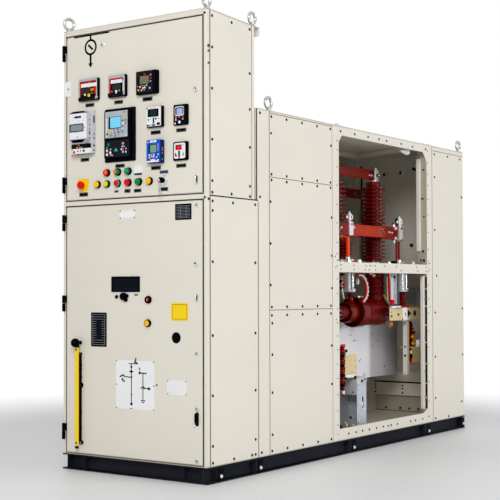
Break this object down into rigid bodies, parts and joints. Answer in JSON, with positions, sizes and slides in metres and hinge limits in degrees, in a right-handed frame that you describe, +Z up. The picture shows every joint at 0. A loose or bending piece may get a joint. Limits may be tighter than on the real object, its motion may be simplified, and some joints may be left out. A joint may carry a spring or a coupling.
{
  "type": "high voltage switchgear panel",
  "caption": "Free-standing switchgear cubicle: instrument box with door over a breaker compartment with door, and a long busbar and cable cubicle behind, open on the right side.",
  "frame": {"origin": "floor level, centre of the whole outline", "axes": "+Z up, front with the doors facing -Y, +X to the right of someone facing the front"},
  "size_m": [0.94, 2.95, 2.3569],
  "materials": {
    "cabinet_paint": "fine textured satin ivory",
    "base_paint": "satin blue black",
    "red_resin": "glossy cast resin",
    "busbar_sleeve": "satin sleeve",
    "bright_metal": "bright",
    "zinc_plate": "galvanised",
    "cream_paint": "satin",
    "white_sheet": "satin",
    "grey_plastic": "satin",
    "black_plastic": "satin",
    "yellow_paint": "satin"
  },
  "bodies": {
    "cabinet": {"floor_plate": "cabinet_paint", "tower_roof": "cabinet_paint", "cubicle_roof": "cabinet_paint", "corner_post_left": "cabinet_paint", "corner_post_right": "cabinet_paint", "instrument_floor": "cabinet_paint", "instrument_side_left": "cabinet_paint", "instrument_side_right": "cabinet_paint", "breaker_side_left": "cabinet_paint", "breaker_side_right": "cabinet_paint", "instrument_back": "cabinet_paint", "cubicle_front": "cabinet_paint", "joint_strip_left": "cabinet_paint", "joint_strip_right": "cabinet_paint", "side_panel_left_bottom": "cabinet_paint", "side_panel_left_middle": "cabinet_paint", "side_panel_left_top": "cabinet_paint", "side_panel_right_bottom": "cabinet_paint", "side_panel_right_middle": "cabinet_paint", "side_panel_right_top": "cabinet_paint", "rear_side_left": "cabinet_paint", "rear_side_right": "cabinet_paint", "mid_post": "cabinet_paint", "rear_post": "cabinet_paint", "opening_head": "cabinet_paint", "opening_crossbar": "cabinet_paint", "opening_sill": "cabinet_paint", "left_cover_lower": "cabinet_paint", "left_cover_upper": "cabinet_paint", "rear_wall": "cabinet_paint", "cubicle_shelf": "cabinet_paint", "base_rail_front": "base_paint", "base_rail_rear": "base_paint", "base_rail_left": "base_paint", "base_rail_right": "base_paint", "post_insulator_front": "red_resin", "post_insulator_rear": "red_resin", "far_phase": "red_resin", "link_insulator": "red_resin", "current_transformer": "red_resin", "support_insulator": "red_resin", "busbar_upper": "busbar_sleeve", "link_bar": "busbar_sleeve", "link_post_1": "bright_metal", "link_post_2": "bright_metal", "shield_tube_front": "bright_metal", "shield_tube_rear": "bright_metal", "bracket_post": "zinc_plate", "cable_column": "zinc_plate", "cream_bracket_upper": "cream_paint", "cream_bracket_lower": "cream_paint", "barrier_sheet": "white_sheet"},
    "instrument_door_leaf": {"instrument_door": "cabinet_paint", "energy_meter": "grey_plastic", "protection_relay": "black_plastic", "power_meter": "black_plastic", "supply_meter_left": "black_plastic", "supply_meter_right": "black_plastic"},
    "breaker_door_leaf": {"breaker_door": "cabinet_paint", "operating_lever": "yellow_paint"}
  },
  "joints": [
    {"name": "instrument_door_hinge", "type": "hinge", "parent": "cabinet", "child": "instrument_door_leaf", "pos_m": [-0.456, -1.425, 1.8], "axis": [0, 0, -1], "range_deg": [0, 115]},
    {"name": "breaker_door_hinge", "type": "hinge", "parent": "cabinet", "child": "breaker_door_leaf", "pos_m": [-0.456, -1.425, 0.7], "axis": [0, 0, -1], "range_deg": [0, 115]}
  ]
}
